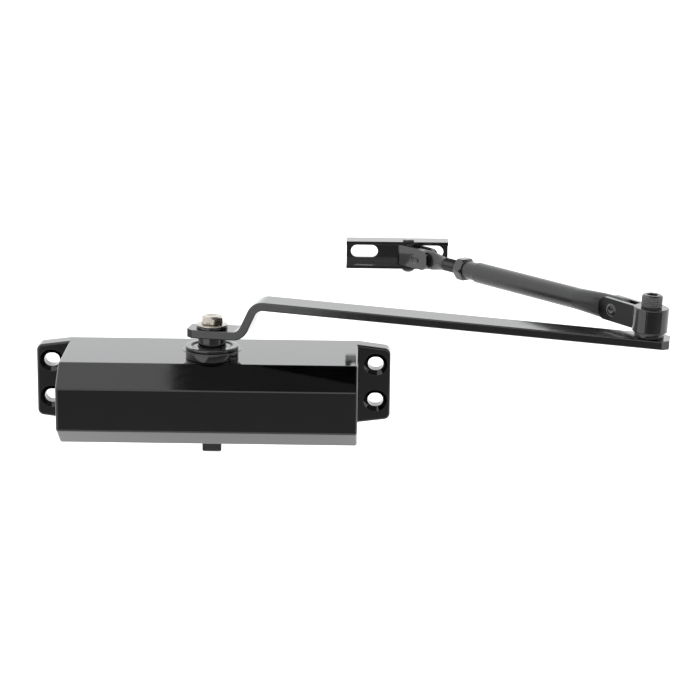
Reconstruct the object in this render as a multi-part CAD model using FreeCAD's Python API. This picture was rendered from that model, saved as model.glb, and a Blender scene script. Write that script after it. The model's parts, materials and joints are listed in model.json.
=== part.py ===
import FreeCAD, Part
import math
import os

# Surface-mounted rack-and-pinion door closer with a two-piece arm.
# Millimetres. Origin: centre of the four fixing holes, on the wall face.
# +X runs along the body towards the elbow, -Y away from the door, +Z up.

V = FreeCAD.Vector
Z_UP = V(0, 0, 1)
X_AXIS = V(1, 0, 0)

# ---- closer body -----------------------------------------------------------
BODY_LENGTH = 147.4          # block between the two fixing ears
BODY_TOP = 19.6              # top face above the fixing centre
BODY_BOTTOM = -21.3          # bottom face below the fixing centre
TOP_DEPTH = 50.5             # flat top face, wall to front edge
BODY_DEPTH = 64.5            # wall to front face
CHAMFER_DROP = 9.8           # height of each long front chamfer
EDGE_ROUND = 1.3             # rounding of the cast edges
EAR_END = 90.0               # half the overall length
EAR_THICKNESS = 9.0
EAR_TAPER = 2.1              # how much each ear edge closes in by its end
EAR_ROUND = 3.2
EAR_ROOT = 6.0               # how far each ear runs into the block
EAR_RIM_ROUND = 1.0
FIX_PITCH_X = 165.0
FIX_PITCH_Z = 19.0
FIX_WIDTH = 6.9              # fixing slot width
FIX_LENGTH = 7.9             # fixing slot length, along X
COUNTERSINK_WIDTH = 11.2
COUNTERSINK_DEPTH = 2.2
OVERRUN = 20.0               # how far a cutter runs past the face that it opens
SKIN = 1.0                   # the same where there is little room

# ---- cylinder, piston and spring -------------------------------------------
BORE_Y = -37.0
BORE_Z = -0.85
BORE_R = 15.0
PLUG_R = 16.0
PLUG_DEPTH = 9.0
PLUG_RECESS = 0.2            # plug face below the block's end face
PLUG_KEY_AF = 10.0           # hexagon key hole
PLUG_KEY_DEPTH = 5.0
PLUG_GROOVE_AT = 6.5         # seal groove centre from the block's end face
PLUG_GROOVE_HALF = 1.1
PLUG_GROOVE_DEPTH = 1.7
PLUG_SEAL_R = 0.8            # seal cord radius
PISTON_R = 14.95
PISTON_LEFT = -22.3
PISTON_RIGHT = 62.0
PISTON_HEAD = 14.0           # solid head next to the spring
PISTON_GROOVE_AT = 5.0       # ring groove from the spring end
PISTON_GROOVE_W = 2.2
PISTON_GROOVE_DEPTH = 1.6
PISTON_WALL = 4.0            # wall of the hollow oil-side end
WINDOW_FRONT = 9.3           # window wall in front of the spindle axis
WINDOW_FAR = 9.5             # room for the pinion at the far end of the window
WINDOW_TURN = math.radians(172.0)
CHECK_BALL_R = 2.2
CHECK_SEAT_R = 3.0
CHECK_PASSAGE_R = 1.2
CHECK_CAGE_R = 2.97
SPRING_R = 11.0
SPRING_WIRE_R = 1.6
SPRING_COILS = 5.5
SPRING_GAP = 0.15            # clearance at each end of the spring

# ---- spindle and pinion ----------------------------------------------------
SPINDLE_X = 1.2
SPINDLE_Y = BORE_Y
JOURNAL_R = 6.85
TEETH = 12
MODULE = 1.25
PRESSURE_ANGLE = math.radians(25.0)
ADDENDUM = 0.8 * MODULE
DEDENDUM = 1.1 * MODULE
BACKLASH = 0.24
PITCH_R = TEETH * MODULE / 2.0
PINION_LOW = -7.85
PINION_HIGH = 6.15
SQUARE = 9.5                 # square drive at both spindle ends
SPINDLE_LOW = -28.1
NECK_TOP = 30.6
RUNNING = 0.05               # radial clearance of running fits

# ---- spindle cap and lower cap ---------------------------------------------
CAP_R = 13.1
CAP_TOP = 25.9
SPIGOT_R = 11.6
SPIGOT_LOW = 14.4
BEARING_R = 9.8
DUST_RING_R = 14.8
DUST_RING_Z = 23.9
DUST_RING_T = 0.5
LOWER_CAP_R = 11.6
LOWER_CAP_T = 1.1
CAP_CHAMFER = 0.5
CAP_ROOF = 1.0               # cap metal over the seal
BOLT_HOLE_R = 3.02
BOLT_HOLE_LOW = 18.0
SQUARE_CHAMFER = 0.8

# ---- main arm --------------------------------------------------------------
ARM_TURN = math.radians(10.3)    # arm swung forward of the body line at rest
ARM_DROOP = math.radians(2.48)   # fall of the long blade towards the elbow
ARM_WIDTH = 15.8
ARM_T = 4.2
ARM_CORNER = 3.3
ARM_BACK_END = 11.5              # blade end behind the spindle axis
ARM_REACH = 215.0                # spindle axis to elbow axis, in plan
ARM_FRONT_END = 10.0             # blade end beyond the elbow axis
ARM_LIFT = 15.9                  # rise of the blade top through the crank
CRANK_START = 14.4               # where the crank leaves the spindle end
CRANK_RUN = 15.8                 # plan length of the crank
CRANK_KNEE = 1.6                 # corner of the middle line beyond the crank's start
CRANK_LEAN = math.radians(65.0)  # steepness of the crank
ARM_BEND_R = 4.0                 # inner radius of both bends
ARM_EDGE = 0.55                  # rolled edges of the bar

# ---- arm bolt and washers -----------------------------------------------------
SPRING_WASHER_R = 7.7
SPRING_WASHER_T = 1.4
SPRING_WASHER_SLIT = 0.4         # half the slit's width
WASHER_R = 7.8
WASHER_T = 0.78
WASHER_BORE_R = 3.2
BOLT_AF = 10.0
BOLT_HEAD_H = 4.0
BOLT_R = 2.97
BOLT_LOW = 20.0
BOLT_TURN = 22.0                 # degrees, how the head stands at rest
STACK_GAP = 0.02                 # gap kept between stacked pieces

# ---- elbow -----------------------------------------------------------------
RING_T = 2.7
RING_R = 7.1
KNUCKLE_R = 8.5
KNUCKLE_H = 11.9
BUSH_R = 5.0
STUD_R = 2.95
HEAD_R = 5.0
HEAD_H = 6.0
KNURLS = 34
LINK_REACH = 21.75               # elbow axis to elbow rivet
EAR_PLATE_T = 2.2
EAR_PLATE_H = 11.0
EAR_PLATE_OVER = 8.7             # ear plate beyond the rivet
LINK_GAP = 5.2
RIVET_R = 2.4
RIVET_HEAD_H = 0.5
SEAM_HALF = 0.18                 # half the gap where the strap's rolled end meets it
SEAM_TURN = 118.0                # degrees round the knuckle
SOCKET_AF = 5.0
SOCKET_DEPTH = 3.0
HEAD_BEVEL = 0.6
KNURL_DEPTH = 0.3

# ---- rod -------------------------------------------------------------------
ROD_TURN = math.radians(50.0)    # rod swung back from -X towards +Y at rest
TUBE_R = 5.3
TUBE_BORE_R = 4.3
TUBE_END = 100.6                 # from the elbow rivet
TUBE_FLAT_T = 4.9
TUBE_FLAT_H = 12.4
TUBE_FLAT_END = 10.0
TUBE_ROUND_START = 27.0
NECK_R = 4.65
NECK_END = 108.3
NECK_START = 86.0
NUT_AF = 11.0
NUT_T = 5.5
NUT_BEVEL = 0.9                  # length of the cone that cuts the nut's corners
NUT_GAP = 0.1                    # nut off the bush's collar
THREAD_DEPTH = 0.55
FLARE_END = 9.2                  # flare stops this far before the shoe rivet
ROD_R = 3.45
ROD_PITCH = 1.0
ROD_START = 68.0
THREAD_END = 125.0
SHANK = 2.0                      # plain length between the thread and the flare
SHOE_RIVET_AT = 145.1
TONGUE_T = 3.9
TONGUE_H = 10.0

# ---- shoe ------------------------------------------------------------------
SHOE_PIN_AT = 10.5               # shoe rivet to shoe pin
BLOCK_HALF_T = 4.2
BLOCK_H = 10.6
BLOCK_REAR = 6.5
SHOE_GAP = 4.2
SHOE_PIN_R = 2.5
SHEET = 1.8
SHOE_HEIGHT = 14.6
SHOE_LEFT = 32.9                 # shoe end left of the pin
SHOE_RIGHT = 21.1
WEB_BEHIND = 7.0                 # pin axis to the web's front face
LIP_FRONT = 3.2                  # flange in front of the pin axis
SHOE_SLOT_L = 14.4
SHOE_SLOT_W = 6.6
SHOE_SLOT_INSET = 9.5

# ---- speed valves ----------------------------------------------------------
VALVE_Y = -15.5
VALVE_Z = (8.0, -9.7)
VALVE_R = 3.0
VALVE_LENGTH = 12.0
VALVE_GROOVE_AT = 6.9        # seal groove centre from the block's end face
VALVE_GROOVE_HALF = 0.7
VALVE_GROOVE_DEPTH = 0.9
VALVE_SEAL_R = 0.42
VALVE_SLOT_HALF = 0.5
VALVE_SLOT_DEPTH = 1.5
OIL_WAY_R = 1.0


def save(name, shape):
    """Write one sub-part to its STEP file."""
    shape.exportStep("parts/%s.step" % name)


def block(x0, x1, y0, y1, z0, z1):
    """Axis-aligned box between two corners."""
    return Part.makeBox(x1 - x0, y1 - y0, z1 - z0, V(x0, y0, z0))


def disc(radius, z0, z1, x=0.0, y=0.0):
    """Upright cylinder from z0 to z1."""
    return Part.makeCylinder(radius, z1 - z0, V(x, y, z0), Z_UP)


def ring(outer, inner, z0, z1, x=0.0, y=0.0):
    """Upright ring from z0 to z1."""
    return disc(outer, z0, z1, x, y).cut(disc(inner, z0 - 1, z1 + 1, x, y))


def bar(radius, x0, x1, y=0.0, z=0.0):
    """Cylinder along X from x0 to x1."""
    return Part.makeCylinder(radius, x1 - x0, V(x0, y, z), X_AXIS)


def tube(outer, inner, x0, x1, y=0.0, z=0.0):
    """Hollow cylinder along X."""
    return bar(outer, x0, x1, y, z).cut(bar(inner, x0 - 1, x1 + 1, y, z))


def cross_pin(radius, y0, y1, x=0.0, z=0.0):
    """Cylinder along Y from y0 to y1."""
    return Part.makeCylinder(radius, y1 - y0, V(x, y0, z), V(0, 1, 0))


def prism(points, push):
    """Closed polygon pushed along a vector."""
    return Part.Face(Part.makePolygon(points + points[:1])).extrude(push)


def hexagon(across_flats, x0, x1):
    """Hexagonal bar along X."""
    r = across_flats / math.sqrt(3.0)
    corners = [V(x0, r * math.cos(math.pi * k / 3), r * math.sin(math.pi * k / 3)) for k in range(6)]
    return prism(corners, V(x1 - x0, 0, 0))


def upright_hexagon(across_flats, z0, z1):
    """Hexagonal bar along Z."""
    r = across_flats / math.sqrt(3.0)
    corners = [V(r * math.cos(math.pi * k / 3), r * math.sin(math.pi * k / 3), z0) for k in range(6)]
    return prism(corners, V(0, 0, z1 - z0))


def stadium(length, width, y, x=0.0, z=0.0):
    """Slot outline in an XZ plane, long along X."""
    r = width / 2.0
    a = length / 2.0 - r
    top = Part.LineSegment(V(x - a, y, z + r), V(x + a, y, z + r)).toShape()
    right = Part.Arc(V(x + a, y, z + r), V(x + a + r, y, z), V(x + a, y, z - r)).toShape()
    bottom = Part.LineSegment(V(x + a, y, z - r), V(x - a, y, z - r)).toShape()
    left = Part.Arc(V(x - a, y, z - r), V(x - a - r, y, z), V(x - a, y, z + r)).toShape()
    return Part.Wire([top, right, bottom, left])


def slot(length, width, y0, y1, x, z):
    """Slotted hole cutter along Y."""
    return Part.Face(stadium(length, width, y0, x, z)).extrude(V(0, y1 - y0, 0))


def plate(x0, x1, height, y0, y1, corner):
    """Flat plate standing in XZ with all four corners rounded."""
    body = block(x0, x1, y0, y1, -height / 2.0, height / 2.0)
    sides = [e for e in body.Edges if abs(e.tangentAt(e.FirstParameter).y) > 0.9]
    return body.makeFillet(corner, sides)


def frame(origin, x_dir, y_dir):
    """Placement whose local axes lie along x_dir, y_dir and their cross product."""
    x = V(x_dir).normalize()
    z = x.cross(V(y_dir)).normalize()
    y = z.cross(x)
    matrix = FreeCAD.Matrix(x.x, y.x, z.x, origin.x, x.y, y.y, z.y, origin.y, x.z, y.z, z.z, origin.z, 0, 0, 0, 1)
    return FreeCAD.Placement(matrix)


def rigid(shape, placement):
    """Shape moved rigidly from its local frame, with exact surfaces kept."""
    moved = shape.copy()
    moved.Placement = placement.multiply(moved.Placement)
    return moved


# ---- places worked out from the driving dimensions --------------------------
SPINDLE = FreeCAD.Placement(V(SPINDLE_X, SPINDLE_Y, 0), FreeCAD.Rotation(Z_UP, -math.degrees(ARM_TURN)))
BLADE_DIR = V(math.cos(ARM_TURN), -math.sin(ARM_TURN), -math.tan(ARM_DROOP)).normalize()
BLADE_SIDE = V(math.sin(ARM_TURN), math.cos(ARM_TURN), 0)
ELBOW_UP = BLADE_DIR.cross(BLADE_SIDE)
ARM_TOP = NECK_TOP + ARM_T
BLADE_START = CRANK_START + CRANK_RUN
ELBOW_DROP = (ARM_REACH - BLADE_START) * math.tan(ARM_DROOP)
ELBOW = V(SPINDLE_X + ARM_REACH * math.cos(ARM_TURN), SPINDLE_Y - ARM_REACH * math.sin(ARM_TURN),
          ARM_TOP + ARM_LIFT - ELBOW_DROP)
ROD_DIR = V(-math.cos(ROD_TURN), math.sin(ROD_TURN), 0)
RIVET_DIR = ELBOW_UP.cross(ROD_DIR).normalize()
LINK_DIR = RIVET_DIR.cross(ELBOW_UP)
ELBOW_FRAME = frame(ELBOW, LINK_DIR, RIVET_DIR)
LINK_MID = RING_T + KNUCKLE_H / 2.0
ELBOW_RIVET = ELBOW + ELBOW_UP * LINK_MID + LINK_DIR * LINK_REACH
TUBE_FRAME = frame(ELBOW_RIVET, ROD_DIR, RIVET_DIR)
ROD_FRAME = frame(ELBOW_RIVET, ROD_DIR, Z_UP.cross(ROD_DIR))
SHOE_RIVET = ELBOW_RIVET + ROD_DIR * SHOE_RIVET_AT
BLOCK_FRAME = frame(SHOE_RIVET, ROD_DIR, Z_UP.cross(ROD_DIR))
SHOE_PIN = SHOE_RIVET + ROD_DIR * SHOE_PIN_AT


# ---- closer body -----------------------------------------------------------
def octagon_block():
    """Cast block with two long front chamfers and rounded edges."""
    half = BODY_LENGTH / 2.0
    section = [V(-half, 0, BODY_BOTTOM), V(-half, 0, BODY_TOP), V(-half, -TOP_DEPTH, BODY_TOP),
               V(-half, -BODY_DEPTH, BODY_TOP - CHAMFER_DROP), V(-half, -BODY_DEPTH, BODY_BOTTOM + CHAMFER_DROP),
               V(-half, -TOP_DEPTH, BODY_BOTTOM)]
    shape = prism(section, V(BODY_LENGTH, 0, 0))
    rounded = [e for e in shape.Edges if e.BoundBox.YMin < -EAR_THICKNESS]
    return shape.makeFillet(EDGE_ROUND, rounded)


def ear(side):
    """Flat fixing ear at one end of the block."""
    root = side * (BODY_LENGTH / 2.0 - EAR_ROOT)
    tip = side * EAR_END
    outline = [V(root, 0, BODY_BOTTOM), V(root, 0, BODY_TOP), V(side * BODY_LENGTH / 2.0, 0, BODY_TOP),
               V(tip, 0, BODY_TOP - EAR_TAPER), V(tip, 0, BODY_BOTTOM + EAR_TAPER),
               V(side * BODY_LENGTH / 2.0, 0, BODY_BOTTOM)]
    shape = prism(outline, V(0, -EAR_THICKNESS, 0))
    corners = [e for e in shape.Edges if abs(e.BoundBox.XMin - tip) < 0.01 and abs(e.BoundBox.XMax - tip) < 0.01
               and e.BoundBox.YLength > 1]
    shape = shape.makeFillet(EAR_ROUND, corners)
    rim = [e for e in shape.Edges if e.BoundBox.YMax < -EAR_THICKNESS + 0.01
           and side * e.CenterOfMass.x > BODY_LENGTH / 2.0 - 1.0]
    return shape.makeFillet(EAR_RIM_ROUND, rim)


def fixing_cutters():
    """Four slotted, countersunk fixing holes."""
    cutters = []
    for sx in (-1, 1):
        for sz in (-1, 1):
            x = sx * FIX_PITCH_X / 2.0
            z = sz * FIX_PITCH_Z / 2.0
            cutters.append(slot(FIX_LENGTH, FIX_WIDTH, -EAR_THICKNESS - SKIN, SKIN, x, z))
            grow = COUNTERSINK_WIDTH - FIX_WIDTH
            wide = stadium(FIX_LENGTH + grow, COUNTERSINK_WIDTH, -EAR_THICKNESS - 0.01, x, z)
            narrow = stadium(FIX_LENGTH, FIX_WIDTH, -EAR_THICKNESS + COUNTERSINK_DEPTH, x, z)
            cutters.append(Part.makeLoft([wide, narrow], True, True))
    return cutters


def body_casting():
    """Casting with ears, cylinder bore, spindle bores and valve passages."""
    half = BODY_LENGTH / 2.0
    shape = octagon_block().fuse(ear(-1)).fuse(ear(1)).removeSplitter()
    cutters = fixing_cutters()
    cutters.append(bar(BORE_R, -half - OVERRUN, half + OVERRUN, BORE_Y, BORE_Z))
    for side in (-1, 1):
        inner = side * (half - PLUG_DEPTH)
        outer = side * (half + OVERRUN)
        cutters.append(bar(PLUG_R, min(inner, outer), max(inner, outer), BORE_Y, BORE_Z))
    cutters.append(disc(SPIGOT_R + RUNNING, BORE_Z, BODY_TOP + SKIN, SPINDLE_X, SPINDLE_Y))
    cutters.append(disc(BEARING_R + RUNNING, BODY_BOTTOM - SKIN, BORE_Z, SPINDLE_X, SPINDLE_Y))
    cutters.append(disc(LOWER_CAP_R, BODY_BOTTOM - SKIN, BODY_BOTTOM + LOWER_CAP_T, SPINDLE_X, SPINDLE_Y))
    for z in VALVE_Z:
        cutters.append(bar(VALVE_R + RUNNING, half - VALVE_LENGTH - 2 * SKIN, half + SKIN, VALVE_Y, z))
        cutters.append(cross_pin(OIL_WAY_R, BORE_Y, VALVE_Y, half - VALVE_LENGTH - SKIN, z))
    for cutter in cutters:
        shape = shape.cut(cutter)
    return shape


def end_plug(side):
    """Screwed plug that closes one end of the cylinder, with a hexagon key hole and a seal groove."""
    half = BODY_LENGTH / 2.0
    face = side * (half - PLUG_RECESS)
    inner = side * (half - PLUG_DEPTH + RUNNING)
    shape = bar(PLUG_R - RUNNING, min(face, inner), max(face, inner), BORE_Y, BORE_Z)
    key = hexagon(PLUG_KEY_AF, half - PLUG_KEY_DEPTH, half + SKIN)
    key.translate(V(0, BORE_Y, BORE_Z))
    if side < 0:
        key = key.mirror(V(0, 0, 0), X_AXIS)
    groove_x = side * (half - PLUG_GROOVE_AT)
    groove = tube(PLUG_R + SKIN, PLUG_R - PLUG_GROOVE_DEPTH, groove_x - PLUG_GROOVE_HALF,
                  groove_x + PLUG_GROOVE_HALF, BORE_Y, BORE_Z)
    return shape.cut(key).cut(groove)


def end_plug_seals():
    """O-ring in the groove of each end plug."""
    rings = []
    for side in (-1, 1):
        centre = V(side * (BODY_LENGTH / 2.0 - PLUG_GROOVE_AT), BORE_Y, BORE_Z)
        rings.append(Part.makeTorus(PLUG_R - PLUG_SEAL_R - 0.08, PLUG_SEAL_R, centre, X_AXIS))
    return Part.makeCompound(rings)


def valve_screw(z):
    """Speed-adjusting needle with a screwdriver slot and a seal groove."""
    half = BODY_LENGTH / 2.0
    face = half - 0.5
    shape = bar(VALVE_R, half - VALVE_LENGTH + 2.0, face, VALVE_Y, z)
    needle = Part.makeCone(0.8, VALVE_R, 2.5, V(half - VALVE_LENGTH - 0.5, VALVE_Y, z), X_AXIS)
    cut = block(face - VALVE_SLOT_DEPTH, half, VALVE_Y - VALVE_SLOT_HALF, VALVE_Y + VALVE_SLOT_HALF,
                z - VALVE_R - SKIN, z + VALVE_R + SKIN)
    groove_x = half - VALVE_GROOVE_AT
    groove = tube(VALVE_R + SKIN, VALVE_R - VALVE_GROOVE_DEPTH, groove_x - VALVE_GROOVE_HALF,
                  groove_x + VALVE_GROOVE_HALF, VALVE_Y, z)
    return shape.fuse(needle).removeSplitter().cut(cut).cut(groove)


def valve_seals():
    """O-ring on each speed valve."""
    half = BODY_LENGTH / 2.0
    x = half - VALVE_GROOVE_AT
    rings = [Part.makeTorus(VALVE_R - 0.4, VALVE_SEAL_R, V(x, VALVE_Y, z), X_AXIS) for z in VALVE_Z]
    return Part.makeCompound(rings)


# ---- cylinder --------------------------------------------------------------
def rack_teeth():
    """Straight-sided rack teeth on the wall side of the window, in mesh at rest."""
    pitch = math.pi * MODULE
    pitch_y = BORE_Y + PITCH_R
    slope = math.tan(PRESSURE_ANGLE)
    half_pitch = pitch / 4.0 - BACKLASH / 4.0
    tip_half = half_pitch - ADDENDUM * slope
    root_half = half_pitch + (DEDENDUM + 0.3) * slope
    tip_y = pitch_y - ADDENDUM
    root_y = pitch_y + DEDENDUM + 0.3
    teeth = []
    first = window_start() + 1.5
    last = window_end() - 1.5
    for k in range(-12, 16):
        x = SPINDLE_X + (k + 0.5) * pitch
        if first < x - root_half and x + root_half < last:
            outline = [V(x - root_half, root_y, PINION_LOW), V(x - tip_half, tip_y, PINION_LOW),
                       V(x + tip_half, tip_y, PINION_LOW), V(x + root_half, root_y, PINION_LOW)]
            teeth.append(prism(outline, V(0, 0, PINION_HIGH - PINION_LOW)))
    return teeth


def window_start():
    """Spring-side end of the piston window."""
    return PISTON_LEFT + PISTON_HEAD


def window_end():
    """Far end of the piston window: pinion radius plus the whole stroke."""
    return SPINDLE_X + WINDOW_FAR + PITCH_R * WINDOW_TURN


def piston():
    """Piston with a window for the spindle, rack teeth and a check-valve passage."""
    shape = bar(PISTON_R, PISTON_LEFT, PISTON_RIGHT, BORE_Y, BORE_Z)
    window = block(window_start(), window_end(), BORE_Y - WINDOW_FRONT, BORE_Y + PITCH_R + DEDENDUM,
                   BORE_Z - OVERRUN, BORE_Z + OVERRUN)
    shape = shape.cut(window)
    for tooth in rack_teeth():
        shape = shape.fuse(tooth)
    shape = shape.removeSplitter()
    end = window_end()
    cup = bar(PISTON_R - PISTON_WALL, end + 12.0, PISTON_RIGHT + SKIN, BORE_Y, BORE_Z)
    seat = bar(CHECK_SEAT_R, end + 6.0, end + 13.0, BORE_Y, BORE_Z)
    passage = bar(CHECK_PASSAGE_R, end - SKIN, end + 7.0, BORE_Y, BORE_Z)
    groove_x = PISTON_LEFT + PISTON_GROOVE_AT
    groove = tube(PISTON_R + SKIN, PISTON_R - PISTON_GROOVE_DEPTH, groove_x, groove_x + PISTON_GROOVE_W,
                  BORE_Y, BORE_Z)
    for cutter in (cup, seat, passage, groove):
        shape = shape.cut(cutter)
    return shape


def piston_seal():
    """Ring seal in the piston's groove."""
    x = PISTON_LEFT + PISTON_GROOVE_AT + 0.1
    inner = PISTON_R - PISTON_GROOVE_DEPTH + 0.1
    return tube(PISTON_R + 0.02, inner, x, x + PISTON_GROOVE_W - 0.2, BORE_Y, BORE_Z)


def check_valve_ball():
    """Ball of the one-way valve in the piston."""
    return Part.makeSphere(CHECK_BALL_R, V(window_end() + 8.4, BORE_Y, BORE_Z))


def check_valve_cage():
    """Pressed ring that keeps the check-valve ball in the piston."""
    x = window_end() + 10.8
    return tube(CHECK_CAGE_R, 1.3, x, x + 1.1, BORE_Y, BORE_Z)


def closing_spring():
    """Compression spring between the left plug and the piston."""
    left = -BODY_LENGTH / 2.0 + PLUG_DEPTH + SPRING_GAP
    right = PISTON_LEFT - SPRING_GAP
    run = right - left - 2 * SPRING_WIRE_R
    helix = Part.makeHelix(run / SPRING_COILS, run, SPRING_R)
    section = Part.Wire(Part.makeCircle(SPRING_WIRE_R, V(SPRING_R, 0, 0), V(0, 1, 0)))
    coil = Part.Wire(helix.Edges).makePipeShell([section], True, True)
    spot = FreeCAD.Placement(V(left + SPRING_WIRE_R, BORE_Y, BORE_Z), FreeCAD.Rotation(Z_UP, X_AXIS))
    return rigid(coil, spot)


# ---- spindle ---------------------------------------------------------------
def involute(radius_base, radius):
    """Involute polar angle at a radius."""
    turn = math.acos(min(1.0, radius_base / radius))
    return math.tan(turn) - turn


def pinion_outline():
    """Points round the pinion, one tooth centred on +Y at rest."""
    base = PITCH_R * math.cos(PRESSURE_ANGLE)
    root = PITCH_R - DEDENDUM
    tip = PITCH_R + ADDENDUM
    half_pitch = math.pi / (2.0 * TEETH) - BACKLASH / 4.0 / PITCH_R
    centre = half_pitch + involute(base, PITCH_R)
    radii = [max(base, root) + (tip - max(base, root)) * k / 4.0 for k in range(5)]
    points = []
    for tooth in range(TEETH):
        middle = math.pi / 2.0 + tooth * 2.0 * math.pi / TEETH
        left = [(root, -centre)] + [(r, -centre + involute(base, r)) for r in radii]
        flank = left + [(r, -a) for r, a in reversed(left)]
        points += [V(r * math.cos(middle + a), r * math.sin(middle + a), PINION_LOW) for r, a in flank]
    return points


def lowest_edges(shape):
    """Edges round a shape's lowest face."""
    low = shape.BoundBox.ZMin
    return [e for e in shape.Edges if e.BoundBox.ZMax < low + 0.01]


def spindle():
    """Pinion shaft with a square drive at each end and a threaded hole in the top."""
    shape = prism(pinion_outline(), V(0, 0, PINION_HIGH - PINION_LOW))
    half = SQUARE / 2.0
    top_square = block(-half, half, -half, half, NECK_TOP - 1.0, ARM_TOP - 0.3)
    low_square = block(-half, half, -half, half, SPINDLE_LOW, BODY_BOTTOM + 0.5)
    low_square = low_square.makeChamfer(SQUARE_CHAMFER, lowest_edges(low_square))
    lower = disc(JOURNAL_R, BODY_BOTTOM + 0.3, PINION_LOW)
    upper = disc(JOURNAL_R, PINION_HIGH, NECK_TOP)
    for piece in (lower, upper, top_square, low_square):
        shape = shape.fuse(piece)
    shape = shape.removeSplitter()
    shape = shape.cut(disc(BOLT_HOLE_R, BOLT_HOLE_LOW, ARM_TOP + SKIN))
    turned = shape.copy()
    turned.rotate(V(0, 0, 0), Z_UP, math.degrees(ARM_TURN))
    return rigid(turned, SPINDLE)


def at_spindle(shape):
    """Upright piece moved onto the spindle axis."""
    return rigid(shape, SPINDLE)


def spindle_cap():
    """Screwed cap that holds the upper bearing, with a groove for the dust ring."""
    shape = disc(CAP_R, BODY_TOP, CAP_TOP)
    shape = shape.makeChamfer(CAP_CHAMFER, [e for e in shape.Edges if e.BoundBox.ZMin > CAP_TOP - 0.1])
    shape = shape.fuse(disc(SPIGOT_R, SPIGOT_LOW, BODY_TOP + 0.5)).removeSplitter()
    cutters = [disc(JOURNAL_R + 0.35, SPIGOT_LOW - SKIN, CAP_TOP + SKIN),
               disc(BEARING_R + 0.02, SPIGOT_LOW - SKIN, CAP_TOP - CAP_ROOF),
               ring(CAP_R + SKIN, CAP_R - 0.6, DUST_RING_Z, DUST_RING_Z + DUST_RING_T),
               ring(11.4, 10.9, CAP_TOP - 0.4, CAP_TOP + SKIN)]
    for cutter in cutters:
        shape = shape.cut(cutter)
    return at_spindle(shape)


def dust_ring():
    """Thin ring that stands out round the cap."""
    z = DUST_RING_Z + 0.02
    return at_spindle(ring(DUST_RING_R, CAP_R - 0.58, z, z + DUST_RING_T - 0.04))


def upper_bearing():
    """Bearing ring in the cap."""
    return at_spindle(ring(BEARING_R, JOURNAL_R + RUNNING, SPIGOT_LOW + 0.6, 21.4))


def upper_seal():
    """Lip seal over the upper bearing."""
    return at_spindle(ring(BEARING_R, JOURNAL_R + 0.04, 21.6, CAP_TOP - CAP_ROOF - 0.1))


def lower_bearing():
    """Bearing ring under the pinion."""
    return at_spindle(ring(BEARING_R, JOURNAL_R + RUNNING, -19.0, -16.0))


def lower_seal():
    """Lip seal under the lower bearing."""
    return at_spindle(ring(BEARING_R, JOURNAL_R + 0.04, BODY_BOTTOM + LOWER_CAP_T, -19.1))


def lower_cap():
    """Thin cover ring flush with the body's underside."""
    return at_spindle(ring(LOWER_CAP_R - RUNNING, JOURNAL_R + 0.15, BODY_BOTTOM, BODY_BOTTOM + LOWER_CAP_T - 0.05))


# ---- main arm --------------------------------------------------------------
def blade_middle():
    """Corner points of the blade's middle line in the XZ plane, from the spindle end to the elbow end."""
    low = NECK_TOP
    fall = math.tan(ARM_DROOP)
    end_x = ARM_REACH + ARM_FRONT_END
    top = ARM_TOP + ARM_LIFT
    knee = CRANK_START + CRANK_KNEE
    lift_run = ARM_LIFT / math.tan(CRANK_LEAN)
    return [V(-ARM_BACK_END, 0, low + ARM_T / 2.0), V(knee, 0, low + ARM_T / 2.0),
            V(knee + lift_run, 0, low + ARM_T / 2.0 + ARM_LIFT),
            V(end_x, 0, top - ARM_T / 2.0 - (end_x - BLADE_START) * fall)]


def bent_strip(middle, thickness, bend_r):
    """Side outline of a strip of even thickness bent round arcs at its inner corners."""
    def offset(side):
        lines = []
        for a, b in zip(middle, middle[1:]):
            along = (b - a).normalize()
            normal = V(-along.z, 0, along.x) * (side * thickness / 2.0)
            lines.append((a + normal, b + normal, along))
        edges = []
        start = lines[0][0]
        for (a0, b0, d0), (a1, b1, d1) in zip(lines, lines[1:]):
            det = d0.x * -d1.z + d1.x * d0.z
            gap = a1 - a0
            reach = (gap.x * -d1.z + d1.x * gap.z) / det
            corner = a0 + d0 * reach
            turn = math.atan2(d0.x * d1.z - d0.z * d1.x, d0.dot(d1))
            outside = (turn > 0) != (side > 0)
            radius = bend_r + thickness if outside else bend_r
            cut = radius * math.tan(abs(turn) / 2.0)
            inside = V(-d0.z, 0, d0.x) * math.copysign(1.0, turn)
            centre = corner - d0 * cut + inside * radius
            out = (corner - centre).normalize() * radius
            edges.append((start, corner - d0 * cut))
            edges.append((corner - d0 * cut, centre + out, corner + d1 * cut))
            start = corner + d1 * cut
        edges.append((start, lines[-1][1]))
        return edges

    upper = offset(1)
    lower = offset(-1)
    shapes = []
    for run in upper + lower:
        if len(run) == 2:
            shapes.append(Part.LineSegment(run[0], run[1]).toShape())
        else:
            shapes.append(Part.Arc(run[0], run[1], run[2]).toShape())
    shapes.append(Part.LineSegment(upper[0][0], lower[0][0]).toShape())
    shapes.append(Part.LineSegment(upper[-1][1], lower[-1][1]).toShape())
    return Part.Wire(Part.__sortEdges__(shapes))


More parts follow.
